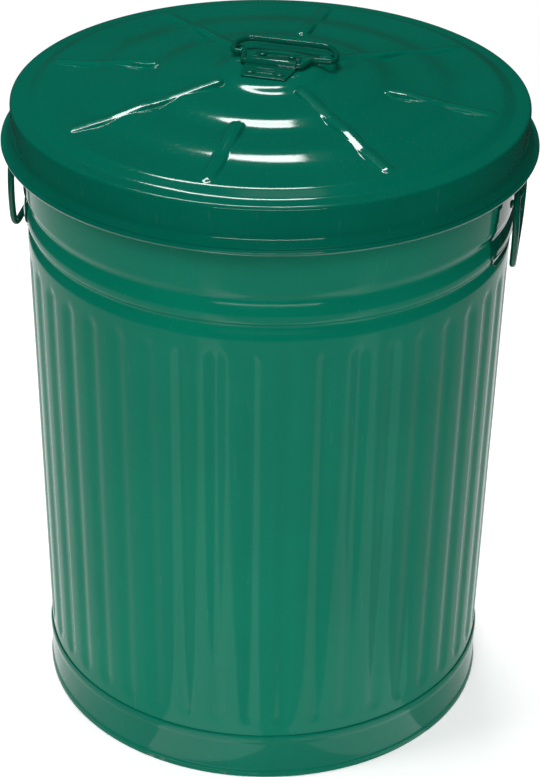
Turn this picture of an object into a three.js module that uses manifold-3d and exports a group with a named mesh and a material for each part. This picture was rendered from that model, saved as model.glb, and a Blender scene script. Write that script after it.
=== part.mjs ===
// Steel dustbin with a lift-off lid: a fluted, tapered body on a foot hoop, two drop
// handles on its sides and a ribbed lid with a folding wire bail. Millimetres, +Z up.
// The origin is on the floor, on the axis of the body; the side handles lie along X.

import * as THREE from 'three';
import { mergeVertices } from 'three/addons/utils/BufferGeometryUtils.js';
import Module from 'manifold-3d';

const wasm = await Module();
wasm.setup();

// ---------------------------------------------------------------- driving sizes

const BODY_HEIGHT = 624.9; // top of the rolled rim above the floor
const WALL_TOP_RADIUS = 230.9; // outside of the wall at the rim
const WALL_FOOT_RADIUS = 218.9; // the same wall carried down to the floor
const SHEET = 1.0; // body and lid sheet
const GAP = 0.35; // between pieces that touch
const WIRE_GAP = 0.35; // around the wires inside the rolled edges
const WALL_START = 8; // lower edge of the wall, inside the foot hoop

const FLUTE_COUNT = 44;
const FLUTE_DEPTH = 2.2;
const FLUTE_FOOT = 57; // where the flutes fade out at the foot
const FLUTE_TOP_DROP = 140; // from the rim down to where they fade out at the top
const FLUTE_FADE = 14; // length of each fade
const FLUTE_TURN = 1.6; // degrees from the handle axis to the first crest
const BODY_SEGMENTS = 2 * FLUTE_COUNT; // one facet edge on each crest and each valley

const RIM_ROLL_RADIUS = 3.5; // outside of the rolled rim
const FOOT_HOOP_HEIGHT = 50;
const FOOT_HOOP_SHEET = 1.3;
const FOOT_BEAD = 1.4; // swell of the hoop just under its top edge
const FOOT_ROLL_OUT = 2.4; // rolled lower edge outside the hoop's face
const FOOT_ROLL_HEIGHT = 4.6;
const FOOT_LEDGE = 6.5; // width of the ledge under the wall and the base
const BASE_SHEET = 1.2;
const BASE_CORNER = 27; // height of the base at its edge
const BASE_CROWN = 4.5; // rise of the base at its centre

const HINGE_DROP = 59.9; // hinge line of a drop handle below the rim
const HANDLE_HALF_WIDTH = 55;
const HANDLE_DROP = 71;
const HANDLE_WIRE = 3.15; // wire radius
const HANDLE_CORNER = 16;
const HANDLE_PLAY = 0.4; // around the wire in its barrel
const PLATE_SHEET = 1.2;
const PLATE_GAP = 0.45;
const BARREL_SHEET = 1.4;
const PLATE_TOP_HALF = 67;
const PLATE_FOOT_HALF = 79;
const PLATE_CORNER_HALF = 60;
const PLATE_HEIGHT = 71;
const PLATE_CORNER_RISE = 18;
const BARREL_HALF_WIDTH = 40;

const LID_TURN = -6; // degrees the lid sits turned on the rim
const LID_PLAY = 2.1; // between the rim and the skirt, all round
const LID_SEGMENTS = 48;
const STEPS_IN = [
  [199, 185],
  [143, 125],
  [87, 65],
  [30, 12],
]; // upper and lower edge of each sloping step of the lid, in from the skirt
const LID_CROWN = 26.4; // centre of the lid above its shoulder
const SKIRT_DEPTH = 29; // shoulder to the foot of the skirt
const BEAD_DROP = 38.6; // shoulder to the centre of the lid's wired edge
const BEAD_OUT = 7.3; // the same outside the skirt
const BEAD_RADIUS = 2.9;
const STEP_HEIGHT = 5.4;
const RIB_WIDTH = 12;
const RIB_HEIGHT = 3;
const RIB_END_SLOPE = 4;
const LONG_RIB = [190, 31]; // ends of a rib, in from the skirt
const SHORT_RIB = [134, 27];

const CLIP_HALF_WIDTH = 24;
const CLIP_SHEET = 1.5;
const CLIP_REACH = 30; // each flange from the bail's pivot line
const BAIL_WIRE = 2.75;
const BAIL_PLAY = 0.4;
const BAIL_HALF_WIDTH = 54;
const BAIL_REACH = 55;
const BAIL_NECK = 6; // from the clip's end to the middle of the first bend
const BAIL_NECK_BEND = 4.5;
const BAIL_SLANT = 7; // the jog's shift outward
const BAIL_JOG = 18;
const BAIL_CORNER = 11;

const RIVET_SHANK = 2.0;
const RIVET_HEAD = 4.2;
const RIVET_DOME = 1.6;
const RIVET_TAIL = 1.2;
const RIVET_PLAY = 0.4; // around the shank in its hole
const RIVET_SET = 0.25; // under a head, and at the tail
const CLIP_RIVET_X = 14;
const CLIP_RIVET_Y = 22;
const PLATE_RIVET_Y = 28;
const PLATE_RIVET_DROP = 17; // below the hinge line

const DEG = Math.PI / 180;

// ---------------------------------------------------------------- finishes

function paint(color, roughness = 0.28) {
  return new THREE.MeshStandardMaterial({ color, roughness, metalness: 0.1 });
}

function steel(color, roughness = 0.45) {
  return new THREE.MeshStandardMaterial({ color, roughness, metalness: 0.9 });
}

const wallPaint = paint(0x1c6451);
const lidPaint = paint(0x046353);
const fittingPaint = paint(0x04503f, 0.32);
const hoopPaint = paint(0x17604d, 0.3);
const innerPaint = paint(0x14503f, 0.42);
const wireSteel = steel(0x8a8f90);

// ---------------------------------------------------------------- helpers

function solid(geometry) {
  const plain = geometry.index ? geometry.toNonIndexed() : geometry.clone();
  plain.deleteAttribute('normal');
  plain.deleteAttribute('uv');
  const merged = mergeVertices(plain, 1e-4);
  const mesh = new wasm.Mesh({
    numProp: 3,
    vertProperties: new Float32Array(merged.attributes.position.array),
    triVerts: new Uint32Array(merged.index.array),
  });
  return new wasm.Manifold(mesh);
}

function geometryOf(body) {
  const mesh = body.getMesh();
  const geometry = new THREE.BufferGeometry();
  geometry.setAttribute('position', new THREE.BufferAttribute(mesh.vertProperties, 3));
  geometry.setIndex(new THREE.BufferAttribute(mesh.triVerts, 1));
  return geometry;
}

function named(name, geometry, material) {
  const mesh = new THREE.Mesh(geometry, material);
  mesh.name = name;
  return mesh;
}

// A closed profile of [radius, height] pairs turned around the Z axis.
function turned(profile, segments, turn = 0) {
  const points = profile.map(([r, z]) => new THREE.Vector2(r, z));
  points.push(points[0].clone());
  const geometry = new THREE.LatheGeometry(points, segments);
  geometry.rotateX(Math.PI / 2);
  geometry.rotateZ(turn * DEG);
  return geometry;
}

// A profile that starts and ends on the axis.
function turnedFromAxis(profile, segments, turn = 0) {
  const points = profile.map(([r, z]) => new THREE.Vector2(r, z));
  const geometry = new THREE.LatheGeometry(points, segments);
  geometry.rotateX(Math.PI / 2);
  geometry.rotateZ(turn * DEG);
  return geometry;
}

// Points on an arc, angles in degrees.
function arc(centreR, centreZ, radius, from, to, steps) {
  const points = [];
  for (let i = 0; i <= steps; i += 1) {
    const angle = (from + ((to - from) * i) / steps) * DEG;
    points.push([centreR + radius * Math.cos(angle), centreZ + radius * Math.sin(angle)]);
  }
  return points;
}

// A round wire along straight runs joined by rounded corners, one bend size per corner.
function wire(corners, radius, bends, steps, sides = 6) {
  const path = new THREE.CurvePath();
  let start = corners[0].clone();
  for (let i = 1; i < corners.length - 1; i += 1) {
    const corner = corners[i];
    const before = corners[i - 1].clone().sub(corner);
    const after = corners[i + 1].clone().sub(corner);
    const cut = Math.min(bends[i - 1], before.length() * 0.48, after.length() * 0.48);
    const enter = corner.clone().add(before.setLength(cut));
    const leave = corner.clone().add(after.setLength(cut));
    path.add(new THREE.LineCurve3(start, enter));
    path.add(new THREE.QuadraticBezierCurve3(enter, corner.clone(), leave));
    start = leave;
  }
  path.add(new THREE.LineCurve3(start, corners[corners.length - 1].clone()));
  const section = new THREE.Shape();
  for (let i = 0; i < sides; i += 1) {
    const angle = ((i + 0.5) / sides) * 2 * Math.PI;
    const x = radius * Math.cos(angle);
    const y = radius * Math.sin(angle);
    if (i === 0) {
      section.moveTo(x, y);
    } else {
      section.lineTo(x, y);
    }
  }
  section.closePath();
  return new THREE.ExtrudeGeometry(section, {
    steps,
    bevelEnabled: false,
    curveSegments: 1,
    extrudePath: path,
  });
}

const wallSlope = (WALL_TOP_RADIUS - WALL_FOOT_RADIUS) / BODY_HEIGHT;
const wallLean = Math.atan(wallSlope);

function wallRadius(z) {
  return WALL_FOOT_RADIUS + wallSlope * z;
}

// ---------------------------------------------------------------- body shell

const fluteTop = BODY_HEIGHT - FLUTE_TOP_DROP;

// Radial offsets of the two swaged grooves and the bead between them, by drop from the rim.
const SWAGE = [
  [89, 0],
  [94, -2.8],
  [102, 0],
  [109, 0.8],
  [116, 0],
  [120, -3.4],
  [130, 0],
];

function swaged(extra) {
  return SWAGE.map(([drop, offset]) => {
    const z = BODY_HEIGHT - drop;
    return [wallRadius(z) + offset + extra, z];
  });
}

const rimInner = WALL_TOP_RADIUS - SHEET;
const rimCentre = rimInner + RIM_ROLL_RADIUS;
const ROLL_FACET = 72; // the roll is a five-sided arc
const ROLL_END = 180 - 4 * ROLL_FACET;
const rimCentreZ = BODY_HEIGHT - RIM_ROLL_RADIUS * Math.sin(ROLL_FACET * DEG);

function fluteWeight(z) {
  const up = THREE.MathUtils.clamp((z - FLUTE_FOOT) / FLUTE_FADE, 0, 1);
  const down = THREE.MathUtils.clamp((fluteTop - z) / FLUTE_FADE, 0, 1);
  return Math.min(up, down);
}

function makeBodyShell() {
  const levels = [
    WALL_START,
    FLUTE_FOOT,
    FLUTE_FOOT + FLUTE_FADE,
    fluteTop - FLUTE_FADE,
    fluteTop,
  ];
  const outer = levels.map((z) => [wallRadius(z), z]).concat(swaged(0).reverse());
  const inner = levels.map((z) => [wallRadius(z) - SHEET, z]);
  const hollow = arc(rimCentre, rimCentreZ, RIM_ROLL_RADIUS - SHEET, 180, ROLL_END, 4);
  const roll = arc(rimCentre, rimCentreZ, RIM_ROLL_RADIUS, ROLL_END, 180, 4);
  const profile = outer.concat(hollow, roll, swaged(-SHEET), inner.reverse());
  const geometry = turned(profile, BODY_SEGMENTS);
  const position = geometry.attributes.position;
  for (let i = 0; i < position.count; i += 1) {
    const x = position.getX(i);
    const y = position.getY(i);
    const turn = Math.atan2(y, x);
    const wave = 0.5 - 0.5 * Math.cos(FLUTE_COUNT * turn);
    const depth = FLUTE_DEPTH * fluteWeight(position.getZ(i)) * wave;
    const scale = 1 - depth / Math.hypot(x, y);
    position.setXY(i, x * scale, y * scale);
  }
  geometry.rotateZ(FLUTE_TURN * DEG);
  return geometry;
}

// ---------------------------------------------------------------- base and foot

function makeRimWire() {
  const radius = RIM_ROLL_RADIUS - SHEET - WIRE_GAP / Math.cos((ROLL_FACET / 2) * DEG);
  const section = arc(rimCentre, rimCentreZ, radius, ROLL_END, 180, 4);
  return turned(section, BODY_SEGMENTS, FLUTE_TURN);
}

function makeBasePan() {
  const edge = wallRadius(WALL_START) - SHEET - GAP;
  const corner = 5;
  const flat = edge - 24;
  const top = BASE_CORNER + BASE_CROWN;
  const profile = [
    [0, top - BASE_SHEET],
    [flat, BASE_CORNER - BASE_SHEET],
    [edge - corner, BASE_CORNER - BASE_SHEET],
    [edge - BASE_SHEET, BASE_CORNER - corner],
    [edge - BASE_SHEET, WALL_START],
    [edge, WALL_START],
    [edge, BASE_CORNER - corner],
    [edge - corner + BASE_SHEET / 2, BASE_CORNER],
    [flat, BASE_CORNER],
    [0, top],
  ];
  return turnedFromAxis(profile, FLUTE_COUNT, FLUTE_TURN);
}

function makeFootHoop() {
  const ledge = WALL_START - 0.3;
  const inside = (z) => wallRadius(z) + GAP;
  const out = (z, extra) => [inside(z) + FOOT_HOOP_SHEET + extra, z];
  const top = FOOT_HOOP_HEIGHT;
  const round = 1.4;
  const profile = [
    out(round, FOOT_ROLL_OUT),
    out(FOOT_ROLL_HEIGHT, FOOT_ROLL_OUT),
    out(FOOT_ROLL_HEIGHT + 1.6, 0),
    out(top - 10, 0),
    out(top - 6.5, FOOT_BEAD),
    out(top - 2, FOOT_BEAD),
    [inside(top), top],
    [inside(ledge), ledge],
    [inside(0) - FOOT_LEDGE, ledge],
    [inside(0) - FOOT_LEDGE + 1, 0],
    out(0, FOOT_ROLL_OUT - round),
  ];
  return turned(profile, BODY_SEGMENTS, FLUTE_TURN);
}

// ---------------------------------------------------------------- drop handles

const hingeZ = BODY_HEIGHT - HINGE_DROP;
const plateFace = (z) => wallRadius(z) + PLATE_GAP + PLATE_SHEET;
const hingeX = plateFace(hingeZ) + HANDLE_WIRE + 0.3;
const plateTop = hingeZ + 4;
const plateFoot = plateTop - PLATE_HEIGHT;
const barrelInner = HANDLE_WIRE + HANDLE_PLAY;
const barrelOuter = barrelInner + BARREL_SHEET;
const plateRivetZ = hingeZ - PLATE_RIVET_DROP;
const plateRivetTurn = Math.asin(PLATE_RIVET_Y / wallRadius(plateRivetZ));

// A round bar along a line, for holes and barrels.
function bar(radius, length, sides) {
  return new THREE.CylinderGeometry(radius, radius, length, sides);
}

// The hole for a plate rivet, through the wall and the plate.
function plateHole(turn) {
  const hole = bar(RIVET_SHANK + RIVET_PLAY, 20, 8).rotateZ(Math.PI / 2).rotateY(wallLean);
  return hole.translate(wallRadius(plateRivetZ), 0, plateRivetZ).rotateZ(turn);
}

// The four holes for the clip's rivets.
function clipHoles() {
  const holes = [];
  for (const x of [-CLIP_RIVET_X, CLIP_RIVET_X]) {
    for (const y of [-CLIP_RIVET_Y, CLIP_RIVET_Y]) {
      const hole = bar(RIVET_SHANK + RIVET_PLAY, 20, 8).rotateX(Math.PI / 2);
      holes.push(solid(hole.translate(x, y, lidTop)));
    }
  }
  return holes;
}

function makeHandlePlate() {
  const swage = swaged(0).reverse();
  const lower = [[wallRadius(plateFoot - 20), plateFoot - 20]];
  const upper = [[wallRadius(plateTop + 20), plateTop + 20]];
  const face = lower.concat(swage, upper);
  const outside = face.map(([r, z]) => [r + PLATE_GAP + PLATE_SHEET, z]);
  const inside = face.map(([r, z]) => [r + PLATE_GAP, z]).reverse();
  const band = solid(turned(outside.concat(inside), BODY_SEGMENTS, FLUTE_TURN));
  const outline = new THREE.Shape([
    new THREE.Vector2(-PLATE_CORNER_HALF, plateFoot),
    new THREE.Vector2(PLATE_CORNER_HALF, plateFoot),
    new THREE.Vector2(PLATE_FOOT_HALF, plateFoot + PLATE_CORNER_RISE),
    new THREE.Vector2(PLATE_TOP_HALF + 2, plateTop - 8),
    new THREE.Vector2(PLATE_TOP_HALF - 6, plateTop),
    new THREE.Vector2(-PLATE_TOP_HALF + 6, plateTop),
    new THREE.Vector2(-PLATE_TOP_HALF - 2, plateTop - 8),
    new THREE.Vector2(-PLATE_FOOT_HALF, plateFoot + PLATE_CORNER_RISE),
  ]);
  const block = new THREE.ExtrudeGeometry(outline, { depth: 100, bevelEnabled: false });
  block.rotateX(Math.PI / 2);
  block.rotateZ(Math.PI / 2);
  block.translate(WALL_TOP_RADIUS - 50, 0, 0);
  let plate = band.intersect(solid(block));
  const length = 2 * BARREL_HALF_WIDTH;
  const barrel = solid(bar(barrelOuter, length, 10).translate(hingeX, 0, hingeZ));
  const bore = solid(bar(barrelInner, length + 2, 10).translate(hingeX, 0, hingeZ));
  const room = 10 * barrelOuter;
  const keep = new THREE.BoxGeometry(room, length, room);
  const outward = solid(keep.translate(plateFace(hingeZ) - 1 + room / 2, 0, hingeZ));
  plate = plate.add(barrel.intersect(outward)).subtract(bore);
  for (const side of [-1, 1]) {
    plate = plate.subtract(solid(plateHole(side * plateRivetTurn)));
  }
  return plate;
}

function makeHandleLoop() {
  const w = HANDLE_HALF_WIDTH;
  const foot = hingeZ - HANDLE_DROP;
  const split = 0.6;
  const corners = [
    new THREE.Vector3(hingeX, split, hingeZ),
    new THREE.Vector3(hingeX, w, hingeZ),
    new THREE.Vector3(hingeX, w, foot),
    new THREE.Vector3(hingeX, -w, foot),
    new THREE.Vector3(hingeX, -w, hingeZ),
    new THREE.Vector3(hingeX, -split, hingeZ),
  ];
  return wire(corners, HANDLE_WIRE, Array(4).fill(HANDLE_CORNER), 36);
}

// A rivet along +Z: its dome rises from z = 0 and its shank goes down to a set tail.
function makeRivet(grip) {
  const profile = [
    [0, -grip - RIVET_TAIL],
    [RIVET_HEAD - 1, -grip - RIVET_TAIL],
    [RIVET_HEAD - 0.8, -grip],
    [RIVET_SHANK, -grip],
    [RIVET_SHANK, 0],
    [RIVET_HEAD, 0],
    [RIVET_HEAD * 0.72, RIVET_DOME * 0.72],
    [0, RIVET_DOME],
  ];
  return turnedFromAxis(profile, 8);
}

// ---------------------------------------------------------------- lid

const shoulderZ = BODY_HEIGHT + GAP + SHEET;
const LID_RADIUS = rimCentre + RIM_ROLL_RADIUS + LID_PLAY + SHEET; // outside of the skirt
const steps = STEPS_IN.map(([from, to]) => [LID_RADIUS - from, LID_RADIUS - to]);
const terraceFall = (LID_CROWN - steps.length * STEP_HEIGHT) / (LID_RADIUS - steps[0][0]);

// Height of the lid's upper face above its shoulder, as [radius, height] from the centre out.
function lidCrown() {
  const points = [[0, LID_CROWN]];
  let height = LID_CROWN;
  let last = steps[0][0];
  for (const [from, to] of steps) {
    height -= (from - last) * terraceFall;
    points.push([from, height]);
    height -= (to - from) * terraceFall + STEP_HEIGHT;
    points.push([to, height]);
    last = to;
  }
  return points;
}

const crown = lidCrown();

function crownHeight(radius) {
  let height = crown[crown.length - 1][1];
  for (let i = 1; i < crown.length; i += 1) {
    const [r0, h0] = crown[i - 1];
    const [r1, h1] = crown[i];
    if (radius >= r0 && radius <= r1) {
      height = h0 + ((h1 - h0) * (radius - r0)) / (r1 - r0);
    }
  }
  return height;
}

const BEAD_FROM = 112;
const BEAD_TO = BEAD_FROM - 4 * ROLL_FACET;
const beadR = LID_RADIUS + BEAD_OUT;
const beadZ = shoulderZ - BEAD_DROP;

function makeLidShell() {
  const skirtFoot = shoulderZ - SKIRT_DEPTH;
  const top = crown.map(([r, h]) => [r, shoulderZ + h]);
  const upper = top.concat([
    [LID_RADIUS - 3, shoulderZ],
    [LID_RADIUS, shoulderZ - 3.6],
    [LID_RADIUS, skirtFoot],
    [LID_RADIUS + 1.6, skirtFoot - 3.4],
  ]);
  const under = [
    [LID_RADIUS - SHEET + 1.7, skirtFoot - 4],
    [LID_RADIUS - SHEET, skirtFoot],
    [LID_RADIUS - SHEET, shoulderZ - 3.9],
    [LID_RADIUS - 3.5, shoulderZ - SHEET],
  ].concat(top.map(([r, z]) => [r, z - SHEET]).reverse());
  const bead = arc(beadR, beadZ, BEAD_RADIUS, BEAD_FROM, BEAD_TO, 4);
  const hollow = arc(beadR, beadZ, BEAD_RADIUS - SHEET, BEAD_TO, BEAD_FROM, 4);
  const profile = upper.concat(bead, hollow, under).reverse();
  let lid = solid(turnedFromAxis(profile, LID_SEGMENTS));
  for (let i = 0; i < 8; i += 1) {
    const ends = i % 2 === 1 ? LONG_RIB : SHORT_RIB;
    const [from, to] = ends.map((inset) => LID_RADIUS - inset);
    const ridge = makeRib(from, to, RIB_WIDTH, RIB_HEIGHT, SHEET / 2);
    const wall = 1.4 * SHEET;
    const width = RIB_WIDTH - 2 * SHEET;
    const inside = makeRib(from + wall, to - wall, width, RIB_HEIGHT - SHEET, 3 * SHEET);
    lid = lid.add(solid(ridge.rotateZ(i * 45 * DEG)));
    lid = lid.subtract(solid(inside.rotateZ(i * 45 * DEG)));
  }
  for (const hole of clipHoles()) {
    lid = lid.subtract(hole);
  }
  return lid;
}

// A pressed rib that follows the lid from one radius to another, along X.
function makeRib(from, to, width, rise, below) {
  const stations = [from, from + RIB_END_SLOPE];
  for (const [r] of crown) {
    if (r > from + 1.5 * RIB_END_SLOPE && r < to - 1.5 * RIB_END_SLOPE) {
      stations.push(r);
    }
  }
  stations.push(to - RIB_END_SLOPE, to);
  const shape = new THREE.Shape();
  shape.moveTo(from, shoulderZ + crownHeight(from) - below);
  for (let i = 1; i < stations.length - 1; i += 1) {
    shape.lineTo(stations[i], shoulderZ + crownHeight(stations[i]) + rise);
  }
  shape.lineTo(to, shoulderZ + crownHeight(to) - below);
  for (let i = stations.length - 2; i > 0; i -= 1) {
    shape.lineTo(stations[i], shoulderZ + crownHeight(stations[i]) - below);
  }
  shape.closePath();
  const rib = new THREE.ExtrudeGeometry(shape, { depth: width, bevelEnabled: false });
  rib.translate(0, 0, -width / 2);
  rib.rotateX(Math.PI / 2);
  return rib;
}

function makeLidWire() {
  const radius = BEAD_RADIUS - SHEET - WIRE_GAP / Math.cos((ROLL_FACET / 2) * DEG);
  return turned(arc(beadR, beadZ, radius, BEAD_TO, BEAD_FROM, 4), LID_SEGMENTS);
}

// ---------------------------------------------------------------- lid handle

const lidTop = shoulderZ + LID_CROWN;
const clipFoot = lidTop + GAP;
const pivotZ = lidTop + BAIL_PLAY + BAIL_WIRE;

function makeClip() {
  const inner = BAIL_WIRE + BAIL_PLAY;
  const outer = inner + CLIP_SHEET;
  const shape = new THREE.Shape();
  shape.moveTo(-CLIP_REACH, clipFoot);
  shape.lineTo(-inner, clipFoot);
  for (const [y, z] of arc(0, pivotZ, inner, 180, 0, 6)) {
    shape.lineTo(y, z);
  }
  shape.lineTo(inner, clipFoot);
  shape.lineTo(CLIP_REACH, clipFoot);
  shape.lineTo(CLIP_REACH, clipFoot + CLIP_SHEET);
  shape.lineTo(outer, clipFoot + CLIP_SHEET);
  for (const [y, z] of arc(0, pivotZ, outer, 0, 180, 6)) {
    shape.lineTo(y, z);
  }
  shape.lineTo(-outer, clipFoot + CLIP_SHEET);
  shape.lineTo(-CLIP_REACH, clipFoot + CLIP_SHEET);
  shape.closePath();
  const width = 2 * CLIP_HALF_WIDTH;
  const strap = new THREE.ExtrudeGeometry(shape, { depth: width, bevelEnabled: false });
  strap.rotateX(Math.PI / 2);
  strap.rotateZ(Math.PI / 2);
  strap.translate(-CLIP_HALF_WIDTH, 0, 0);
  let clip = solid(strap);
  for (const side of [-1, 1]) {
    const taper = new THREE.Shape([
      new THREE.Vector2(-CLIP_HALF_WIDTH, -6 * side),
      new THREE.Vector2(CLIP_HALF_WIDTH, -6 * side),
      new THREE.Vector2(CLIP_HALF_WIDTH, 8 * side),
      new THREE.Vector2(CLIP_HALF_WIDTH - 3.5, (CLIP_REACH + 1) * side),
      new THREE.Vector2(-CLIP_HALF_WIDTH + 3.5, (CLIP_REACH + 1) * side),
      new THREE.Vector2(-CLIP_HALF_WIDTH, 8 * side),
    ]);
    const half = new THREE.ExtrudeGeometry(taper, { depth: 40, bevelEnabled: false });
    half.translate(0, 0, lidTop - 10);
    clip = side < 0 ? [clip, solid(half)] : clip[0].intersect(clip[1].add(solid(half)));
  }
  for (const hole of clipHoles()) {
    clip = clip.subtract(hole);
  }
  return clip;
}

function makeBail() {
  const w = BAIL_HALF_WIDTH;
  const split = 0.6;
  const point = (x, y) => new THREE.Vector3(x, y, pivotZ);
  const neck = CLIP_HALF_WIDTH + BAIL_NECK;
  const half = [
    point(split, 0),
    point(neck, 0),
    point(neck + BAIL_SLANT, BAIL_JOG),
    point(w, BAIL_JOG),
    point(w, BAIL_REACH),
  ];
  const mirrored = half.map((p) => point(-p.x, p.y)).reverse();
  const bends = [BAIL_NECK_BEND, BAIL_NECK_BEND, BAIL_CORNER, BAIL_CORNER];
  return wire(half.concat(mirrored), BAIL_WIRE, bends.concat([...bends].reverse()), 64);
}

// ---------------------------------------------------------------- assembly

const bin = new THREE.Group();

let shell = solid(makeBodyShell());
for (const side of [0, Math.PI]) {
  for (const turn of [-plateRivetTurn, plateRivetTurn]) {
    shell = shell.subtract(solid(plateHole(side + turn)));
  }
}
bin.add(named('body_shell', geometryOf(shell), wallPaint));
bin.add(named('rim_wire', makeRimWire(), wireSteel));
bin.add(named('base_pan', makeBasePan(), innerPaint));
bin.add(named('foot_hoop', makeFootHoop(), hoopPaint));

const plateSeat = plateFace(plateRivetZ) + RIVET_SET;
const plateGrip = SHEET + PLATE_GAP + PLATE_SHEET + 2.4 * RIVET_SET;
for (const [side, turn] of [['right', 0], ['left', Math.PI]]) {
  const group = new THREE.Group();
  group.rotation.z = turn;
  group.add(named(`${side}_handle_plate`, geometryOf(makeHandlePlate()), fittingPaint));
  group.add(named(`${side}_handle_loop`, makeHandleLoop(), fittingPaint));
  for (const [end, way] of [['front', -1], ['rear', 1]]) {
    const pivot = new THREE.Group();
    pivot.rotation.z = way * plateRivetTurn * (turn ? -1 : 1);
    const rivet = named(`${side}_plate_rivet_${end}`, makeRivet(plateGrip), fittingPaint);
    rivet.position.set(plateSeat, 0, plateRivetZ);
    rivet.rotation.y = Math.PI / 2 + wallLean;
    pivot.add(rivet);
    group.add(pivot);
  }
  bin.add(group);
}

const lid = new THREE.Group();
lid.rotation.z = LID_TURN * DEG;
lid.add(named('lid_shell', geometryOf(makeLidShell()), lidPaint));
lid.add(named('lid_edge_wire', makeLidWire(), wireSteel));
lid.add(named('lid_clip', geometryOf(makeClip()), fittingPaint));
lid.add(named('lid_bail', makeBail(), fittingPaint));
const clipGrip = SHEET + GAP + CLIP_SHEET + 2.4 * RIVET_SET;
for (const [end, y] of [['front', -CLIP_RIVET_Y], ['rear', CLIP_RIVET_Y]]) {
  for (const [side, x] of [['left', -CLIP_RIVET_X], ['right', CLIP_RIVET_X]]) {
    const rivet = named(`clip_rivet_${end}_${side}`, makeRivet(clipGrip), fittingPaint);
    rivet.position.set(x, y, clipFoot + CLIP_SHEET + RIVET_SET);
    lid.add(rivet);
  }
}
bin.add(lid);

export default bin;
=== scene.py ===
"""Looks for a green steel dustbin: fluted body, foot hoop, ribbed lid, bail and two drop handles."""

import math

import bmesh
import bpy
from mathutils import Matrix, Vector, noise


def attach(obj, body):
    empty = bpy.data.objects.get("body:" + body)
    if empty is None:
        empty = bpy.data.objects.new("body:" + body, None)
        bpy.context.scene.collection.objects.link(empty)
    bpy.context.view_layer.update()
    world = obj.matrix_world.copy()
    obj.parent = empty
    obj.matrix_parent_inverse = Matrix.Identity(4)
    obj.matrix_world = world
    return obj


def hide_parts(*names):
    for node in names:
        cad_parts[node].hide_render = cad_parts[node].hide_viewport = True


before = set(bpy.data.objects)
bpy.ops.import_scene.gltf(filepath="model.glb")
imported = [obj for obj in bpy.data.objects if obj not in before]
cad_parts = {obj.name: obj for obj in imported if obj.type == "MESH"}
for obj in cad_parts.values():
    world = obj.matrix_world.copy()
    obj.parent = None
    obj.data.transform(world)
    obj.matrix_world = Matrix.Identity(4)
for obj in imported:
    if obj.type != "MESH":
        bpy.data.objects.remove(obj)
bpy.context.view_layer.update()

# ---------------------------------------------------------------- sizes, in millimetres
MM = 0.001
TOUCH = 1e-4  # points closer than this are one point
FIT = 0.35  # gap left between pieces that are fixed together
CORNER_STEPS = 5  # straight bits in the bend of a pressed corner

BODY_HEIGHT = 624.9
WALL_TOP = 230.9
WALL_FOOT = 218.9
WALL_START = 8.0
SHEET = 1.0
WALL_SLOPE = (WALL_TOP - WALL_FOOT) / BODY_HEIGHT
WALL_LEAN = math.atan(WALL_SLOPE)
BODY_STEPS = 352  # eight to a flute

FLUTES = 44
FLUTE_DEPTH = 2.1
FLUTE_SHARE = 0.33  # half-width of a flute as a share of the pitch; the rest is flat
FLUTE_FOOT = 56.0
FLUTE_TOP = BODY_HEIGHT - 139.0
FLUTE_FADE = 17.0
FADE_MIDDLE = 8.0  # from a flute's end to about half-way along its fade
FLUTE_TURN = math.radians(1.6)

# The two swaged grooves and the bead between them: drop from the rim, offset, bend.
SWAGE = [
    (86.0, 0.0, 3.0),
    (93.5, -3.0, 3.4),
    (101.0, -0.1, 4.0),
    (109.0, 0.9, 7.0),
    (115.0, 0.2, 2.5),
    (120.0, -3.6, 3.2),
    (130.0, 0.0, 5.0),
]

RIM_ROLL = 3.5
RIM_CENTRE = WALL_TOP - SHEET + RIM_ROLL
RIM_Z = 621.5
RIM_START = RIM_Z - 8

PAN_STEPS = 176
PAN_SHEET = 1.2
PAN_MIDDLE = 31.5
PAN_FLAT = 27.0
PAN_FOOT = 8.0

HOOP_STEPS = 264
HOOP_SHEET = 1.3
HOOP_TOP = 50.0
HOOP_FOLD = 7.7  # height of the rolled edge's folded-in lip

HINGE_Z = BODY_HEIGHT - 59.9
HINGE_X = 234.85
HANDLE_WIRE = 3.15
HANDLE_HALF = 55.0
HANDLE_DROP = 71.0
PLATE_GAP = 0.45
PLATE_SHEET = 1.2
PLATE_TOP = HINGE_Z + 4
PLATE_FOOT = PLATE_TOP - 71
PLATE_CORNER = 3.2
# The plate as seen from its side: along the wall, height.
PLATE_OUTLINE = [
    (-60, PLATE_FOOT), (60, PLATE_FOOT), (79, PLATE_FOOT + 18), (69, PLATE_TOP - 8),
    (61, PLATE_TOP), (-61, PLATE_TOP), (-69, PLATE_TOP - 8), (-79, PLATE_FOOT + 18),
]
BARREL_INNER = 3.55
BARREL_OUTER = 4.95
BARREL_HALF = 40.0
PLATE_RIVET_Z = HINGE_Z - 17
PLATE_RIVET_Y = 28.0

LID_TURN = math.radians(-6)
SHOULDER_Z = 626.25
LID_RADIUS = 240.0
SKIRT_FOOT = SHOULDER_Z - 29
BEAD_R = 246.9
BEAD_Z = 587.6
BEAD = 2.74
LID_STEPS = 384
LID_FLAT = 236.0  # inside this radius the lid's sheet lies more flat than upright
RIB_SPACING = math.pi / 4
RIB_ENDS = (53.0, 109.0, 207.0)  # radii near which the ribs end
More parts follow.
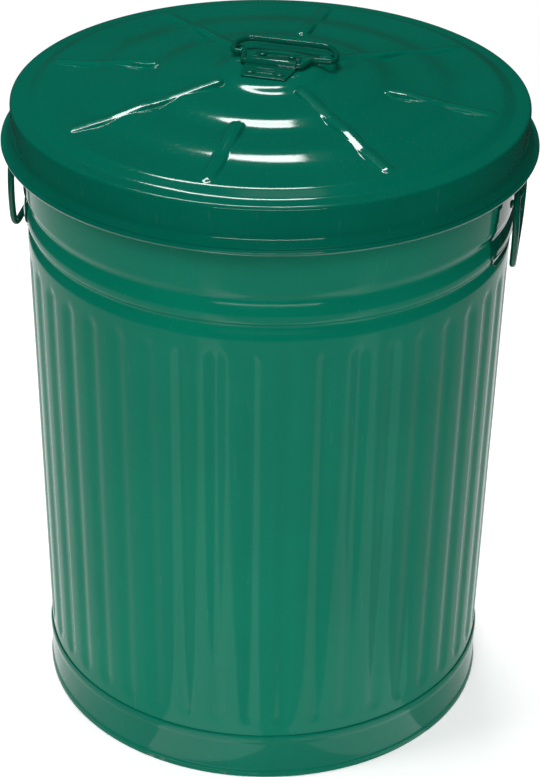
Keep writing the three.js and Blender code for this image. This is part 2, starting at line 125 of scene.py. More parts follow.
# The lid's upper face: radius, height above the shoulder, bend.
CROWN = [
    (41.0, 26.4, 7.0),
    (54.5, 20.66, 7.0),
    (97.5, 19.65, 9.0),
    (115.0, 13.82, 9.0),
    (153.5, 12.9, 10.0),
    (174.0, 6.97, 10.0),
    (213.5, 6.0, 3.2),
    (225.5, 0.45, 3.2),
    (240.0, 0.0, 3.6),
]
LONG_RIB = (50.0, 209.0)
SHORT_RIB = (106.0, 213.0)
RIB_HALF = 7.8
RIB_FLANK = 2.7
RIB_PITCH = 0.25  # slope of the two sides of a rib's top, which meet in a soft ridge
RIB_RIDGE = 1.0  # half-width of the ridge
RIB_STRIP = 9.2  # half-width of the strip whose columns run along a rib
# The line along the top of a rib: radius, height above the shoulder.
RIB_CREST = [(41.0, 28.1), (108.0, 18.9), (133.0, 17.5), (164.0, 11.7), (214.0, 7.3)]

LID_TOP = SHOULDER_Z + 26.4
PIVOT_Z = 655.8
CLIP_FOOT = LID_TOP + FIT
CLIP_SHEET = 1.5
CLIP_HALF = 24.0
CLIP_REACH = 30.0
CLIP_INNER = 3.15
CLIP_TAPER = 3.5  # how far each flange narrows on either side
BAIL_WIRE = 2.75
# The bail lies flat in these corners, hand-bent and a little lopsided.
BAIL_LINE = [
    (0.6, 0.0), (28.2, 0.0), (33.2, 18.5), (54.2, 20.0), (54.0, 36.0), (43.0, 54.8),
    (-37.0, 54.8), (-45.5, 41.0), (-42.5, 20.0), (-30.8, 18.5), (-27.0, 0.0), (-0.6, 0.0),
]
BAIL_BENDS = [4, 5, 7, 9, 9, 7, 7, 5, 4, 3.5]
WIRE_STEPS = 12  # straight bits in each bend of a wire

RIVET_SHANK = 2.0
RIVET_HEAD = 4.2
RIVET_DOME = 1.6
RIVET_TAIL = 0.6  # how far a rivet's shank shows past what it grips
RIVET_LIFT = 0.25  # how far a head sits off the face under it


def wall_radius(z):
    return WALL_FOOT + WALL_SLOPE * z


def smooth_step(value, low, high):
    t = min(max((value - low) / (high - low), 0.0), 1.0)
    return t * t * (3 - 2 * t)


# ---------------------------------------------------------------- profiles
def bend(points, steps=CORNER_STEPS):
    """Rounds the corners of a line of (across, up, reach) points; reach is how far along each side."""
    rounded = [points[0][:2]]
    for (ax, az, _), (bx, bz, reach), (cx, cz, _) in zip(points, points[1:], points[2:]):
        before = Vector((ax - bx, az - bz))
        after = Vector((cx - bx, cz - bz))
        reach = min(reach, before.length * 0.47, after.length * 0.47)
        enter = Vector((bx, bz)) + before.normalized() * reach
        leave = Vector((bx, bz)) + after.normalized() * reach
        for i in range(steps + 1):
            t = i / steps
            p = enter * (1 - t) ** 2 + Vector((bx, bz)) * 2 * t * (1 - t) + leave * t * t
            rounded.append((p.x, p.y))
    rounded.append(points[-1][:2])
    return rounded


def arc(across, up, radius, start, stop, steps):
    """Points on an arc; the angles are in degrees."""
    points = []
    for i in range(steps + 1):
        angle = math.radians(start + (stop - start) * i / steps)
        points.append((across + radius * math.cos(angle), up + radius * math.sin(angle)))
    return points


def halved(a, b, longest):
    """The points after a, up to b, with long stretches halved until each fits longest(point)."""
    if math.dist(a, b) <= min(longest(a), longest(b)):
        return [b]
    middle = ((a[0] + b[0]) / 2, (a[1] + b[1]) / 2)
    return halved(a, middle, longest) + halved(middle, b, longest)


def spaced(points, longest):
    filled = [points[0]]
    for a, b in zip(points, points[1:]):
        filled += halved(a, b, longest)
    return filled


def turned(profile, steps, closed=True, angle=2 * math.pi):
    """Spins a profile of (radius, height) points round the upright axis."""
    bm = bmesh.new()
    verts = [bm.verts.new((r, 0, z)) for r, z in profile]
    edges = [bm.edges.new(pair) for pair in zip(verts, verts[1:])]
    if closed:
        edges.append(bm.edges.new((verts[-1], verts[0])))
    whole = abs(angle - 2 * math.pi) < TOUCH
    bmesh.ops.spin(
        bm, geom=verts + edges, cent=(0, 0, 0), axis=(0, 0, 1), angle=angle, steps=steps, use_merge=whole,
    )
    bmesh.ops.remove_doubles(bm, verts=bm.verts, dist=TOUCH)
    bmesh.ops.recalc_face_normals(bm, faces=bm.faces)
    bm.normal_update()
    return bm


def pushed(outline, depth):
    """A prism: an outline of points pushed along a vector."""
    bm = bmesh.new()
    end = bm.faces.new([bm.verts.new(point) for point in outline])
    swept = bmesh.ops.extrude_face_region(bm, geom=[end])
    moved = [item for item in swept["geom"] if isinstance(item, bmesh.types.BMVert)]
    bmesh.ops.translate(bm, vec=depth, verts=moved)
    return bm


def trim(bm, place, outward, reach):
    """Cuts off what lies past a plane, and returns the edges of the cut."""
    cut = bmesh.ops.bisect_plane(
        bm, geom=bm.verts[:] + bm.edges[:] + bm.faces[:], dist=reach,
        plane_co=place, plane_no=outward, clear_outer=True,
    )
    return [item for item in cut["geom_cut"] if isinstance(item, bmesh.types.BMEdge)]


def soften(bm, width, sharp=60):
    """Rounds the edges that turn by more than an angle in degrees."""
    rims = [e for e in bm.edges if e.is_manifold and e.calc_face_angle(0) > math.radians(sharp)]
    bmesh.ops.bevel(bm, geom=rims, offset=width, segments=2, affect="EDGES", profile=0.5, material=-1)


def weld_on(bm, part):
    """Adds a second bmesh to the first, as one piece."""
    carrier = bpy.data.meshes.new("part")
    part.to_mesh(carrier)
    part.free()
    bm.from_mesh(carrier)
    bpy.data.meshes.remove(carrier)


# ---------------------------------------------------------------- pieces
def turn_about_axis(bm, angle):
    bmesh.ops.rotate(bm, verts=bm.verts, cent=(0, 0, 0), matrix=Matrix.Rotation(angle, 3, "Z"))


def piece(name, bm, finish, body, stands_for=(), crease=35):
    """Makes a finished piece from a bmesh in millimetres, gives it its finish and body, and hides the CAD
    nodes it stands for.
    """
    bmesh.ops.scale(bm, vec=(MM, MM, MM), verts=bm.verts)
    mesh = bpy.data.meshes.new(name)
    bm.to_mesh(mesh)
    bm.free()
    for face in mesh.polygons:
        face.use_smooth = True
    mesh.set_sharp_from_angle(angle=math.radians(crease))
    obj = bpy.data.objects.new(name, mesh)
    bpy.context.scene.collection.objects.link(obj)
    mesh.materials.append(finish)
    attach(obj, body)
    if stands_for:
        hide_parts(*stands_for)
    return obj


def bent_wire(corners, bends, radius, around=6):
    """A round wire through the corners, each rounded by its own reach, as a bmesh."""
    path = [Vector(corners[0])]
    for a, b, c, reach in zip(corners, corners[1:], corners[2:], bends):
        before = Vector(a) - Vector(b)
        after = Vector(c) - Vector(b)
        reach = min(reach, before.length * 0.48, after.length * 0.48)
        enter = Vector(b) + before.normalized() * reach
        leave = Vector(b) + after.normalized() * reach
        for i in range(WIRE_STEPS + 1):
            t = i / WIRE_STEPS
            path.append(enter * (1 - t) ** 2 + Vector(b) * 2 * t * (1 - t) + leave * t * t)
    path.append(Vector(corners[-1]))
    line = bpy.data.curves.new("wire_line", "CURVE")
    line.dimensions = "3D"
    line.bevel_depth = radius
    line.bevel_resolution = around
    line.use_fill_caps = True
    spline = line.splines.new("POLY")
    spline.points.add(len(path) - 1)
    for point, place in zip(spline.points, path):
        point.co = (*place, 1)
    carrier = bpy.data.objects.new("wire_line", line)
    bpy.context.scene.collection.objects.link(carrier)
    bpy.context.view_layer.update()
    mesh = bpy.data.meshes.new_from_object(carrier.evaluated_get(bpy.context.evaluated_depsgraph_get()))
    bm = bmesh.new()
    bm.from_mesh(mesh)
    bmesh.ops.remove_doubles(bm, verts=bm.verts, dist=TOUCH)
    bmesh.ops.recalc_face_normals(bm, faces=bm.faces)
    bpy.data.objects.remove(carrier)
    bpy.data.curves.remove(line)
    bpy.data.meshes.remove(mesh)
    return bm


# ---------------------------------------------------------------- finishes
class Value:
    """One output among a finish's nodes; sums and products of it read as sums and products."""

    def __init__(self, finish, socket):
        self.finish = finish
        self.socket = socket

    def math(self, operation, *terms):
        return self.finish.node("ShaderNodeMath", {"operation": operation}, dict(enumerate(terms)))

    def __add__(self, other):
        return self.math("ADD", self, other)

    def __sub__(self, other):
        return self.math("SUBTRACT", self, other)

    def __rsub__(self, other):
        return self.math("SUBTRACT", other, self)

    def __mul__(self, other):
        return self.math("MULTIPLY", self, other)

    def band(self, low, high):
        """0 below low, 1 above high and smooth in between; the other way round if high is below low."""
        if high < low:
            return 1 - self.band(high, low)
        settings = {"interpolation_type": "SMOOTHSTEP"}
        sockets = {"Value": self, "From Min": low, "From Max": high}
        return self.finish.node("ShaderNodeMapRange", settings, sockets)


class Finish:
    """A material and the nodes it is made of."""

    def __init__(self, name):
        self.material = bpy.data.materials.new(name)
        self.material.use_nodes = True
        self.tree = self.material.node_tree
        self.tree.nodes.clear()
        self.place = self.node("ShaderNodeTexCoord", out="Object")

    def node(self, kind, settings=None, sockets=None, out=0):
        made = self.tree.nodes.new(kind)
        for key, setting in (settings or {}).items():
            setattr(made, key, setting)
        for key, value in (sockets or {}).items():
            if isinstance(value, Value):
                self.tree.links.new(value.socket, made.inputs[key])
            else:
                made.inputs[key].default_value = value
        return Value(self, made.outputs[out])

    def speckle(self, scale, detail=2.0, roughness=0.5, place=None):
        sockets = {"Vector": place or self.place, "Scale": scale, "Detail": detail, "Roughness": roughness}
        return self.node("ShaderNodeTexNoise", None, sockets, "Fac")

    def blended(self, factor, low, high):
        """A colour between two colours."""
        return self.node("ShaderNodeMix", {"data_type": "RGBA"}, {0: factor, 6: low, 7: high}, 2)

    def close(self, **sockets):
        """Ends the nodes in a shader with these sockets, and returns the material."""
        shader = self.node("ShaderNodeBsdfPrincipled", None, sockets)
        surface = self.tree.nodes.new("ShaderNodeOutputMaterial")
        self.tree.links.new(shader.socket, surface.inputs["Surface"])
        return self.material


UNSCUFFED = (-1.0, -0.9)  # heights below the floor, so nothing is scuffed


def paint(name, colour, deep, roughness, scuff=UNSCUFFED, worn=0.0, gloss=1.33):
    """Gloss enamel on pressed steel. scuff is the pair of heights, in metres, over which scuffs fade out."""
    finish = Finish(name)
    height = finish.node("ShaderNodeSeparateXYZ", None, {0: finish.place}, 2)
    cloud = finish.speckle(7, 3)
    grain = finish.speckle(160, 3, 0.6)
    dust = finish.speckle(900, 1).band(0.70, 0.78)
    scratch_place = finish.node("ShaderNodeMapping", None, {"Vector": finish.place, "Scale": (1, 1, 0.08)})
    scratches = finish.speckle(420, 2, 0.5, scratch_place).band(0.68, 0.74)
    low = height.band(scuff[1], scuff[0])
    chips = low * finish.speckle(70, 4, 0.62).band(0.62 - worn, 0.66 - worn)
    tone = finish.blended(cloud.band(0.3, 0.7), (*deep, 1), (*colour, 1))
    dusty = finish.blended(dust * 0.10 + scratches * 0.04, tone, (0.30, 0.42, 0.37, 1))
    colour_out = finish.blended(chips, dusty, (0.20, 0.21, 0.20, 1))
    rough = grain * 0.05 + cloud * 0.04 + dust * 0.2 + scratches * 0.06 + chips * 0.3 + (roughness - 0.045)
    relief = finish.speckle(1500, 1) * 0.000012 + finish.speckle(24, 2) * 0.00022 - chips * 0.00005
    normal = finish.node("ShaderNodeBump", None, {"Strength": 0.55, "Distance": 1.0, "Height": relief})
    return finish.close(**{
        "Base Color": colour_out,
        "Roughness": rough,
        "Metallic": chips * 0.8,
        "Normal": normal,
        "IOR": gloss,
    })


def bright_steel(name):
    finish = Finish(name)
    cloud = finish.speckle(60, 4, 0.6)
    pits = finish.speckle(700, 2).band(0.62, 0.7)
    tone = finish.blended(cloud, (0.30, 0.31, 0.31, 1), (0.52, 0.53, 0.53, 1))
    colour = finish.blended(pits * 0.5, tone, (0.16, 0.11, 0.08, 1))
    normal = finish.node("ShaderNodeBump", None, {"Strength": 0.4, "Distance": 1.0, "Height": cloud * 0.0001})
    return finish.close(**{
        "Base Color": colour,
        "Roughness": cloud * 0.2 + pits * 0.2 + 0.25,
        "Metallic": 0.95,
        "Normal": normal,
    })


wall_paint = paint("wall_paint", (0.0016, 0.150, 0.092), (0.001, 0.136, 0.083), 0.13, gloss=1.15)
hoop_paint = paint("hoop_paint", (0.0016, 0.136, 0.084), (0.001, 0.119, 0.074), 0.11, (0.0, 0.006), 0.02, 1.17)
lid_paint = paint("lid_paint", (0.0003, 0.101, 0.065), (0.0002, 0.091, 0.058), 0.09)
# The fittings wear the same green enamel as the wall; their darker green here is painted shade, standing in
# for the dark reflections on them.
fitting_paint = paint("fitting_paint", (0.001, 0.074, 0.047), (0.0008, 0.058, 0.037), 0.07, gloss=1.29)
inner_paint = paint("inner_paint", (0.006, 0.090, 0.058), (0.004, 0.070, 0.046), 0.34)
wire_steel = bright_steel("wire_steel")


# ---------------------------------------------------------------- camera, floor and lights
def aimed(obj, place, target):
    obj.location = place
    obj.rotation_mode = "QUATERNION"
    obj.rotation_quaternion = (Vector(target) - Vector(place)).to_track_quat("-Z", "Y")


CAMERA_PLACE = (0.3103, -1.9594, 1.4803)
CAMERA_TURN = 9  # degrees round from the front
CAMERA_DIP = 30.53  # degrees below level
CAMERA_ROLL = 0.83
LENS_SHIFT = 0.0045045
FLOOR_RADIUS = 1.27
FLOOR_DROP = 0.0004

lens = bpy.data.cameras.new("camera")
lens.lens = 107.65
lens.sensor_width = 36
lens.shift_x = LENS_SHIFT
camera = bpy.data.objects.new("camera", lens)
bpy.context.scene.collection.objects.link(camera)
bpy.context.scene.camera = camera
camera.matrix_world = (
    Matrix.Translation(CAMERA_PLACE)
    @ Matrix.Rotation(math.radians(CAMERA_TURN), 4, "Z")
    @ Matrix.Rotation(math.radians(90 - CAMERA_DIP), 4, "X")
    @ Matrix.Rotation(math.radians(CAMERA_ROLL), 4, "Z")
)

bpy.context.scene.view_settings.view_transform = "Standard"

floor_mesh = bmesh.new()
bmesh.ops.create_circle(floor_mesh, cap_ends=True, segments=128, radius=FLOOR_RADIUS)
bmesh.ops.translate(floor_mesh, verts=floor_mesh.verts, vec=(0, 0, -FLOOR_DROP))
floor_data = bpy.data.meshes.new("floor")
floor_mesh.to_mesh(floor_data)
floor_mesh.free()
floor = bpy.data.objects.new("floor", floor_data)
bpy.context.scene.collection.objects.link(floor)
floor_finish = Finish("floor_finish")
floor_data.materials.append(floor_finish.close(**{
    "Base Color": (0.9, 0.9, 0.9, 1),
    "Roughness": 0.8,
    "Emission Color": (1, 1, 1, 1),
    "Emission Strength": 0.4,
}))

# The camera sees a white backdrop; everything else sees a dim one.
world = bpy.data.worlds.new("studio")
bpy.context.scene.world = world
world.use_nodes = True
sky = world.node_tree
sky.nodes.clear()
seen = sky.nodes.new("ShaderNodeLightPath")
pale = sky.nodes.new("ShaderNodeBackground")
pale.inputs["Color"].default_value = (1, 1, 1, 1)
pale.inputs["Strength"].default_value = 1.0
dim = sky.nodes.new("ShaderNodeBackground")
dim.inputs["Color"].default_value = (0.72, 0.75, 0.76, 1)
dim.inputs["Strength"].default_value = 0.025
either = sky.nodes.new("ShaderNodeMixShader")
sky_out = sky.nodes.new("ShaderNodeOutputWorld")
sky.links.new(seen.outputs["Is Camera Ray"], either.inputs[0])
sky.links.new(dim.outputs[0], either.inputs[1])
sky.links.new(pale.outputs[0], either.inputs[2])
sky.links.new(either.outputs[0], sky_out.inputs["Surface"])


def softbox(name, place, target, width, height, power, mirrored=True, lights=True):
    """A rectangular lamp. It lights the paint, or is mirrored in its gloss, or both."""
    lamp = bpy.data.lights.new(name, "AREA")
    lamp.shape = "RECTANGLE"
    lamp.size = width
    lamp.size_y = height
    lamp.energy = power
    obj = bpy.data.objects.new(name, lamp)
    bpy.context.scene.collection.objects.link(obj)
    aimed(obj, place, target)
    obj.visible_camera = False
    obj.visible_glossy = mirrored
    obj.visible_diffuse = lights


STRIP_MIDDLE = 0.44  # from the wall to the middle of a floor strip
STRIP_LENGTH = 0.86
STRIP_LIFT = 0.006


def floor_strip(name, turn, width, power):
    """A strip lying on the floor that only the gloss shows. turn is where on the wall it is mirrored."""
    front = math.radians(CAMERA_TURN - 90)
    start = Vector((math.cos(front + turn), math.sin(front + turn), 0)) * wall_radius(300) * MM
    along = Vector((math.cos(front + 2 * turn), math.sin(front + 2 * turn), 0))
    middle = start + along * STRIP_MIDDLE + Vector((0, 0, STRIP_LIFT))
    above = middle - along * 0.3 + Vector((0, 0, 20))
    softbox(name, middle, above, width, STRIP_LENGTH, power, lights=False)


softbox("overhead_box", (-0.48, 1.25, 2.9), (0, 0, 0.6), 1.05, 0.40, 38)
softbox("ceiling", (0.2, 0.1, 3.4), (0, 0, 0.6), 1.4, 0.9, 4)
softbox("low_strip", (0.5, -3.2, 1.1), (0, 0, 0.6), 2.6, 0.14, 42)
floor_strip("left_strip", math.radians(-13.5), 0.15, 1.05)
floor_strip("right_strip", math.radians(24), 0.19, 0.95)
softbox("left_fill", (-2.8, -1.6, 2.6), (0, 0, 0.3), 1.2, 1.6, 58, mirrored=False)
softbox("right_fill", (2.6, -1.6, 2.4), (0, 0, 0.3), 1.0, 1.4, 20, mirrored=False)
softbox("front_fill", (0.6, -3.0, 3.4), (0, 0, 0.2), 1.6, 1.2, 44, mirrored=False)
softbox("top_fill", (-0.4, 0.6, 4.0), (0, 0, 0.2), 2.4, 2.4, 44, mirrored=False)


# ---------------------------------------------------------------- body shell
def flute_depth(angle, z):
    """How far the wall is pressed in at an angle from the first crest and a height."""
    pitch = 2 * math.pi / FLUTES
    across = abs(angle % pitch - pitch / 2) / pitch / FLUTE_SHARE
    wave = 0.5 + 0.5 * math.cos(math.pi * min(across, 1.0))
    up_from_foot = smooth_step(z, FLUTE_FOOT, FLUTE_FOOT + FLUTE_FADE)
    down_from_top = smooth_step(z, FLUTE_TOP, FLUTE_TOP - FLUTE_FADE)
    return FLUTE_DEPTH * max(0.0, wave + min(up_from_foot, down_from_top) - 1)


def swage_corners():
    """The corners of the swages from the lowest up: radius, height, bend."""
    return [
        (wall_radius(BODY_HEIGHT - drop) + offset, BODY_HEIGHT - drop, reach)
        for drop, offset, reach in reversed(SWAGE)
    ]


def make_body_shell():
    swages = bend([
        (wall_radius(FLUTE_TOP), FLUTE_TOP, 0), *swage_corners(), (wall_radius(RIM_START), RIM_START, 0),
    ])
    roll = arc(RIM_CENTRE, RIM_Z, RIM_ROLL, 180, -100, 18)
    hollow = arc(RIM_CENTRE, RIM_Z, RIM_ROLL - SHEET, -100, 180, 14)
    outer = [(wall_radius(WALL_START), WALL_START), *swages]
    inner = [(r - SHEET, z) for r, z in outer]

    def close(point):
        """Short steps where the flutes begin and end, and long ones between."""
        near = min(abs(point[1] - FLUTE_FOOT - FADE_MIDDLE), abs(point[1] - FLUTE_TOP + FADE_MIDDLE))
        return 2.6 if near < 13 else 60

    outside = spaced(outer, close)
    bm = turned(outside + hollow + roll[::-1] + spaced(inner, close)[::-1], BODY_STEPS)
    for v in bm.verts:
        radius = math.hypot(v.co.x, v.co.y)
        angle = math.atan2(v.co.y, v.co.x)
        sway = 0.22 * noise.noise(v.co * 0.011)
        sway *= smooth_step(v.co.z, 60, 110)
        sway *= smooth_step(v.co.z, 600, 540)
        scale = 1 - (flute_depth(angle, v.co.z) + sway) / radius
        v.co.x *= scale
        v.co.y *= scale
    turn_about_axis(bm, FLUTE_TURN)
    return piece("fluted_wall", bm, wall_paint, "body", ["body_shell"])


make_body_shell()


def make_base_pan():
    edge = wall_radius(WALL_START) - SHEET - FIT
    inner_edge = edge - PAN_SHEET
    flat_under = PAN_FLAT - PAN_SHEET
    upper = bend([
        (0, PAN_MIDDLE, 0),
        (edge - 24, PAN_FLAT, 8),
        (edge - 5, PAN_FLAT, 3),
        (edge, PAN_FLAT - 5, 3),
        (edge, PAN_FOOT, 0),
    ])
    lower = bend([
        (inner_edge, PAN_FOOT, 0),
        (inner_edge, PAN_FLAT - 5.4, 3),
        (edge - 5.6, flat_under, 3),
        (edge - 24, flat_under, 8),
        (0, PAN_MIDDLE - PAN_SHEET, 0),
    ])
    bm = turned(upper + lower, PAN_STEPS, closed=False)
    return piece("pressed_base", bm, inner_paint, "body", ["base_pan"])


make_base_pan()


def make_foot_hoop():
    inner_foot = wall_radius(0) + FIT

    def at(z, extra):
        """The hoop's plain outer face at a height, and so much further out."""
        return wall_radius(z) + FIT + HOOP_SHEET + extra

    outline = [
        (at(HOOP_TOP, -HOOP_SHEET), HOOP_TOP, 0),
        (at(HOOP_TOP, -0.7), HOOP_TOP, 0.5),
        (at(47.6, 0.3), 47.6, 1.8),
        (at(43.6, 0.5), 43.6, 2.0),
        (at(40.6, 0.0), 40.6, 2.0),
        (at(8.4, 0.0), 8.4, 1.6),
        (at(5.8, 1.5), 5.8, 1.6),
        (at(0.0, 1.9), 0.0, 2.4),
        (inner_foot - 5.5, 0.0, 0.4),
        (inner_foot - 6.5, 3.8, 1.5),
        (inner_foot - 6.5, HOOP_FOLD, 0.4),
        (wall_radius(HOOP_FOLD) + FIT, HOOP_FOLD, 0),
    ]
    bm = turned(bend(outline), HOOP_STEPS)
    for v in bm.verts:
        if v.co.z < 6:
            dent = 0.16 * (1 + noise.noise(v.co * 0.03)) * 0.5
            scale = 1 - dent / math.hypot(v.co.x, v.co.y)
            v.co.x *= scale
            v.co.y *= scale
    return piece("foot_hoop_band", bm, hoop_paint, "body", ["foot_hoop"])


make_foot_hoop()


# ---------------------------------------------------------------- lid
def rib_rise(along, across, height, ends):
    """How far a rib, straight along its top and rounded at its ends, stands above the lid."""
    middle = min(max(along, ends[0] + RIB_HALF), ends[1] - RIB_HALF)
    away = math.hypot(along - middle, across)
    crest = height
    for (r0, h0), (r1, h1) in zip(RIB_CREST, RIB_CREST[1:]):
        if r0 <= along <= r1:
            crest = SHOULDER_Z + h0 + (h1 - h0) * (along - r0) / (r1 - r0)
    crest -= RIB_PITCH * (math.hypot(away, RIB_RIDGE) - RIB_RIDGE)
    return max(0.0, crest - height) * smooth_step(away, RIB_HALF, RIB_HALF - RIB_FLANK)


def gather_to_ribs(angle, radius):
    """Moves a spun column's angle so that half of a sector's columns run along its rib.

    Returns the rib's number and the column's new angle from it.
    """
    sector = round(angle / RIB_SPACING)
    half = RIB_SPACING / 2
    share = (angle - sector * RIB_SPACING) / half
    strip = math.asin(min(RIB_STRIP / max(radius, 20.0), 0.6))
    size = abs(share)
    if size <= 0.5:
        gathered = math.asin(min(2 * RIB_STRIP * size / max(radius, 20.0), 0.6))
    else:
        gathered = strip + (size - 0.5) * 2 * (half - strip)
    weight = smooth_step(radius, 22, 34) * smooth_step(radius, 232, 218)
    moved = size * half + (gathered - size * half) * weight
    return sector, math.copysign(moved, share)


def make_lid_shell():
    crown = [(0, SHOULDER_Z + 26.4, 0)] + [(r, SHOULDER_Z + h, reach) for r, h, reach in CROWN]
    skirt = [(LID_RADIUS, SKIRT_FOOT - 1, 2.6), (BEAD_R - 1.9, BEAD_Z + 2.9, 0.9)]
    bead = arc(BEAD_R, BEAD_Z, BEAD, 108, -176, 20)
    upper = bend(crown + skirt + [(*bead[0], 0)])
    inner = bend(crown + skirt[:1] + [(BEAD_R - 3.4, BEAD_Z + 3.6, 0)], 2)
    under = [(r, z - SHEET) if r <= LID_FLAT else (r - SHEET, z - 0.2) for r, z in inner]
    hollow = arc(BEAD_R, BEAD_Z, BEAD - SHEET, -176, 118, 12)

    def close(point):
        """Short steps where the ribs end, and long ones between."""
        near_end = min(abs(point[0] - end) for end in RIB_ENDS)
        return 1.8 if near_end < 7.5 else 9.0

    profile = spaced(upper, close) + bead + hollow + spaced(under, lambda point: 4.0)[::-1]
    bm = turned(profile, LID_STEPS, closed=False)
    lower = {v for v in bm.verts if v.normal.z < 0}
    for v in bm.verts:
        radius = math.hypot(v.co.x, v.co.y)
        sector, off = gather_to_ribs(math.atan2(v.co.y, v.co.x), radius)
        if radius < LID_FLAT:
            ends = LONG_RIB if sector % 2 else SHORT_RIB
            top = v.co.z + (SHEET if v in lower else 0)
            v.co.z += rib_rise(radius * math.cos(off), radius * math.sin(off), top, ends)
            v.co.z += 0.25 * noise.noise(v.co * 0.013) * smooth_step(radius, 56, 80)
        angle = sector * RIB_SPACING + off
        v.co.x = radius * math.cos(angle)
        v.co.y = radius * math.sin(angle)
    turn_about_axis(bm, LID_TURN)
    return piece("ribbed_lid", bm, lid_paint, "lid", ["lid_shell"])


make_lid_shell()


# ---------------------------------------------------------------- rivets
def make_rivet(name, grip, place, body, node):
    """A domed rivet along +Z with a set tail, moved by a matrix to its place."""
    outline = bend([
        (0, -grip - 1.2, 0),
        (RIVET_HEAD - 1.2, -grip - 1.2, 0.4),
        (RIVET_HEAD - 0.8, -grip, 0.2),
        (RIVET_SHANK, -grip, 0.1),
        (RIVET_SHANK, 0, 0.1),
        (RIVET_HEAD - 0.1, 0, 0.15),
        (RIVET_HEAD - 0.25, 0.55, 0.3),
        (RIVET_HEAD * 0.66, RIVET_DOME * 0.82, 0.9),
        (RIVET_HEAD * 0.3, RIVET_DOME, 0.8),
        (0, RIVET_DOME, 0),
    ], 3)
    bm = turned(outline, 24, closed=False)
    bmesh.ops.transform(bm, matrix=place, verts=bm.verts)
    return piece(name, bm, fitting_paint, body, [node], 50)


# ---------------------------------------------------------------- drop handles
def rounded_corners(corners, reach):
    """A closed outline with each corner rounded, as vectors."""
    outline = []
    for i, corner in enumerate(corners):
        here = Vector(corner)
        before = (Vector(corners[i - 1]) - here).normalized() * reach
        after = (Vector(corners[(i + 1) % len(corners)]) - here).normalized() * reach
        for t in (0, 0.33, 0.67, 1):
            outline.append(here + before * (1 - t) ** 2 + after * t * t)
    return outline


def make_plate_face():
    """The sheet of a handle plate, which follows the swages a gap away from the wall."""
    levels = [
        (wall_radius(PLATE_FOOT - 20), PLATE_FOOT - 20, 0),
        *swage_corners(),
        (wall_radius(PLATE_TOP + 20), PLATE_TOP + 20, 0),
    ]
    face = [(r + PLATE_GAP, z) for r, z in spaced(bend(levels), lambda point: 6.0)]
    bm = turned(face, 64, closed=False, angle=math.radians(48))
    turn_about_axis(bm, math.radians(-24))
    outline = rounded_corners(PLATE_OUTLINE, PLATE_CORNER)
    for a, b in zip(outline, outline[1:] + outline[:1]):
        along = b - a
        if along.length > 0.01:
            trim(bm, (0, a.x, a.y), (0, along.y, -along.x), 1e-5)
    bmesh.ops.recalc_face_normals(bm, faces=bm.faces)
    if sum(f.normal.x for f in bm.faces) < 0:
        bmesh.ops.reverse_faces(bm, faces=bm.faces)
    bmesh.ops.solidify(bm, geom=bm.faces, thickness=-PLATE_SHEET)
    bmesh.ops.recalc_face_normals(bm, faces=bm.faces)
    soften(bm, 0.35)
    return bm


def make_plate_barrel():
    """A strip rolled round the handle's wire, open towards the wall."""
    face_x = wall_radius(HINGE_Z) + PLATE_GAP + PLATE_SHEET - HINGE_X
    lip = math.degrees(math.acos(max(-1, (face_x - 0.3) / BARREL_OUTER)))
    ring = arc(0, 0, BARREL_OUTER, -lip, lip, 22) + arc(0, 0, BARREL_INNER, lip, -lip, 18)
    outline = [(HINGE_X + x, -BARREL_HALF, HINGE_Z + z) for x, z in ring]
    barrel = pushed(outline, (0, 2 * BARREL_HALF, 0))
    bmesh.ops.recalc_face_normals(barrel, faces=barrel.faces)
    soften(barrel, 0.3)
    return barrel


def make_handle_plate(side, turn):
    bm = make_plate_face()
    weld_on(bm, make_plate_barrel())
    turn_about_axis(bm, turn)
    return piece(f"{side}_plate", bm, fitting_paint, "body", [f"{side}_handle_plate"])


def make_handle_loop(side, turn):
    foot = HINGE_Z - HANDLE_DROP
    bow_z = HINGE_Z - 36
    half = [
        (HINGE_X, 0.6, HINGE_Z),
        (HINGE_X, HANDLE_HALF, HINGE_Z),
        (HINGE_X + 1.2, HANDLE_HALF + 1.0, bow_z),
        (HINGE_X, HANDLE_HALF - 1, foot),
    ]
    other_half = [(x, -y, z) for x, y, z in reversed(half)]
    bm = bent_wire(half + other_half, [13, 20, 19, 19, 20, 13], HANDLE_WIRE)
    turn_about_axis(bm, turn)
    loop_name = f"{side}_drop_loop"
    node = f"{side}_handle_loop"
    return piece(loop_name, bm, fitting_paint, f"{side}_handle", [node], 60)


plate_rivet_turn = math.asin(PLATE_RIVET_Y / wall_radius(PLATE_RIVET_Z))
plate_seat = wall_radius(PLATE_RIVET_Z) + PLATE_GAP + PLATE_SHEET + RIVET_LIFT
plate_grip = SHEET + PLATE_GAP + PLATE_SHEET + RIVET_TAIL
for side, turn in (("right", 0.0), ("left", math.pi)):
    make_handle_plate(side, turn)
    make_handle_loop(side, turn)
    for end, way in (("front", -1), ("rear", 1)):
        outward = way * plate_rivet_turn * (-1 if turn else 1)
        place = (
            Matrix.Rotation(turn + outward, 4, "Z")
            @ Matrix.Translation((plate_seat, 0, PLATE_RIVET_Z))
            @ Matrix.Rotation(math.pi / 2 + WALL_LEAN, 4, "Y")
        )
        make_rivet(f"{side}_rivet_{end}", plate_grip, place, "body", f"{side}_plate_rivet_{end}")


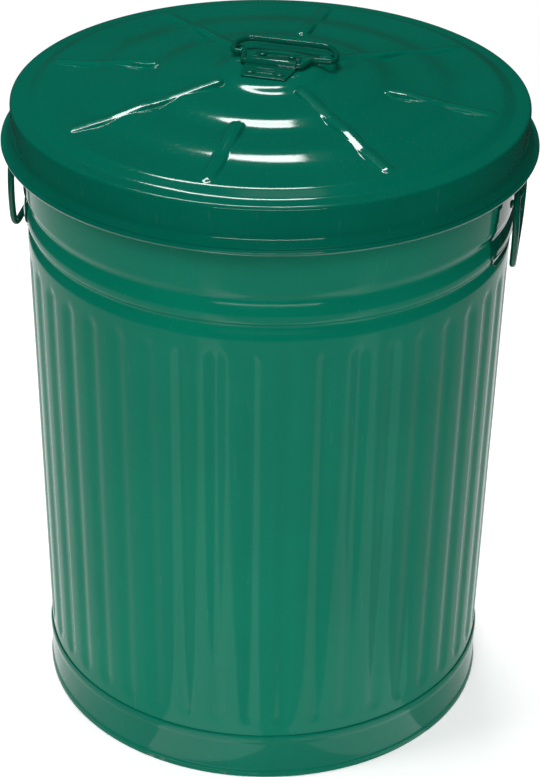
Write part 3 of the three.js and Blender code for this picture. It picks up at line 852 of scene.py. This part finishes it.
# ---------------------------------------------------------------- lid fittings
def clip_outline():
    """The strap's section across the bail's axle, as (along, height) points."""
    top = CLIP_FOOT + CLIP_SHEET
    outer = CLIP_INNER + CLIP_SHEET
    over = [(y, z, 0.05) for y, z in arc(0, PIVOT_Z, outer, 168, 12, 14)]
    under = [(y, z, 0.05) for y, z in arc(0, PIVOT_Z, CLIP_INNER, 0, 180, 12)]
    upper = [
        (-CLIP_REACH, top, 0), (-outer + 0.2, top, 1.1), *over,
        (outer - 0.2, top, 1.1), (CLIP_REACH, top, 0),
    ]
    lower = [
        (CLIP_REACH, CLIP_FOOT, 0), (CLIP_INNER, CLIP_FOOT, 0.3), *under,
        (-CLIP_INNER, CLIP_FOOT, 0.3), (-CLIP_REACH, CLIP_FOOT, 0),
    ]
    return bend(upper, 2) + bend(lower, 2)


def make_clip_pad():
    """A low pad with rounded corners, pressed up in the front flange."""
    top = CLIP_FOOT + CLIP_SHEET
    pad = bmesh.new()
    shape = Matrix.Translation((-0.5, -17.5, top + 0.25)) @ Matrix.Diagonal((17, 8.5, 0.9, 1))
    bmesh.ops.create_cube(pad, size=1, matrix=shape)
    upright = [e for e in pad.edges if abs(e.verts[0].co.z - e.verts[1].co.z) > 0.5]
    bmesh.ops.bevel(pad, geom=upright, offset=1.2, segments=3, affect="EDGES", profile=0.5, material=-1)
    upper = [e for e in pad.edges if min(v.co.z for v in e.verts) > top + 0.5]
    bmesh.ops.bevel(pad, geom=upper, offset=0.35, segments=2, affect="EDGES", profile=0.5, material=-1)
    return pad


def make_clip():
    """A folded strap over the bail's axle, with flanges that narrow outwards."""
    outline = [(-CLIP_HALF, y, z) for y, z in clip_outline()]
    bm = pushed(outline, (2 * CLIP_HALF, 0, 0))
    bmesh.ops.remove_doubles(bm, verts=bm.verts, dist=0.01)
    for way in (-1, 1):
        for sign in (-1, 1):
            a = Vector((sign * CLIP_HALF, way * 8))
            b = Vector((sign * (CLIP_HALF - CLIP_TAPER), way * (CLIP_REACH + 1)))
            along = b - a
            normal = Vector((along.y, -along.x, 0))
            if normal.x * sign < 0:
                normal = -normal
            bmesh.ops.holes_fill(bm, edges=trim(bm, (a.x, a.y, 0), normal, 1e-4))
    bmesh.ops.recalc_face_normals(bm, faces=bm.faces)
    soften(bm, 0.4, 50)
    weld_on(bm, make_clip_pad())
    turn_about_axis(bm, LID_TURN)
    return piece("bail_clip", bm, fitting_paint, "lid", ["lid_clip"])


make_clip()


def make_bail():
    bm = bent_wire([(x, y, PIVOT_Z) for x, y in BAIL_LINE], BAIL_BENDS, BAIL_WIRE)
    turn_about_axis(bm, LID_TURN)
    return piece("wire_bail", bm, fitting_paint, "bail", ["lid_bail"], 60)


make_bail()

clip_seat = CLIP_FOOT + CLIP_SHEET + RIVET_LIFT
clip_grip = SHEET + FIT + CLIP_SHEET + RIVET_TAIL
for end, y in (("front", -22.0), ("rear", 22.0)):
    for side, x in (("left", -14.0), ("right", 14.0)):
        place = Matrix.Rotation(LID_TURN, 4, "Z") @ Matrix.Translation((x, y, clip_seat))
        make_rivet(f"clip_{end}_{side}_rivet", clip_grip, place, "lid", f"clip_rivet_{end}_{side}")

# ---------------------------------------------------------------- wires that stay as the CAD has them
for node in ("rim_wire", "lid_edge_wire"):
    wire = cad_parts[node]
    wire.data.materials.clear()
    wire.data.materials.append(wire_steel)
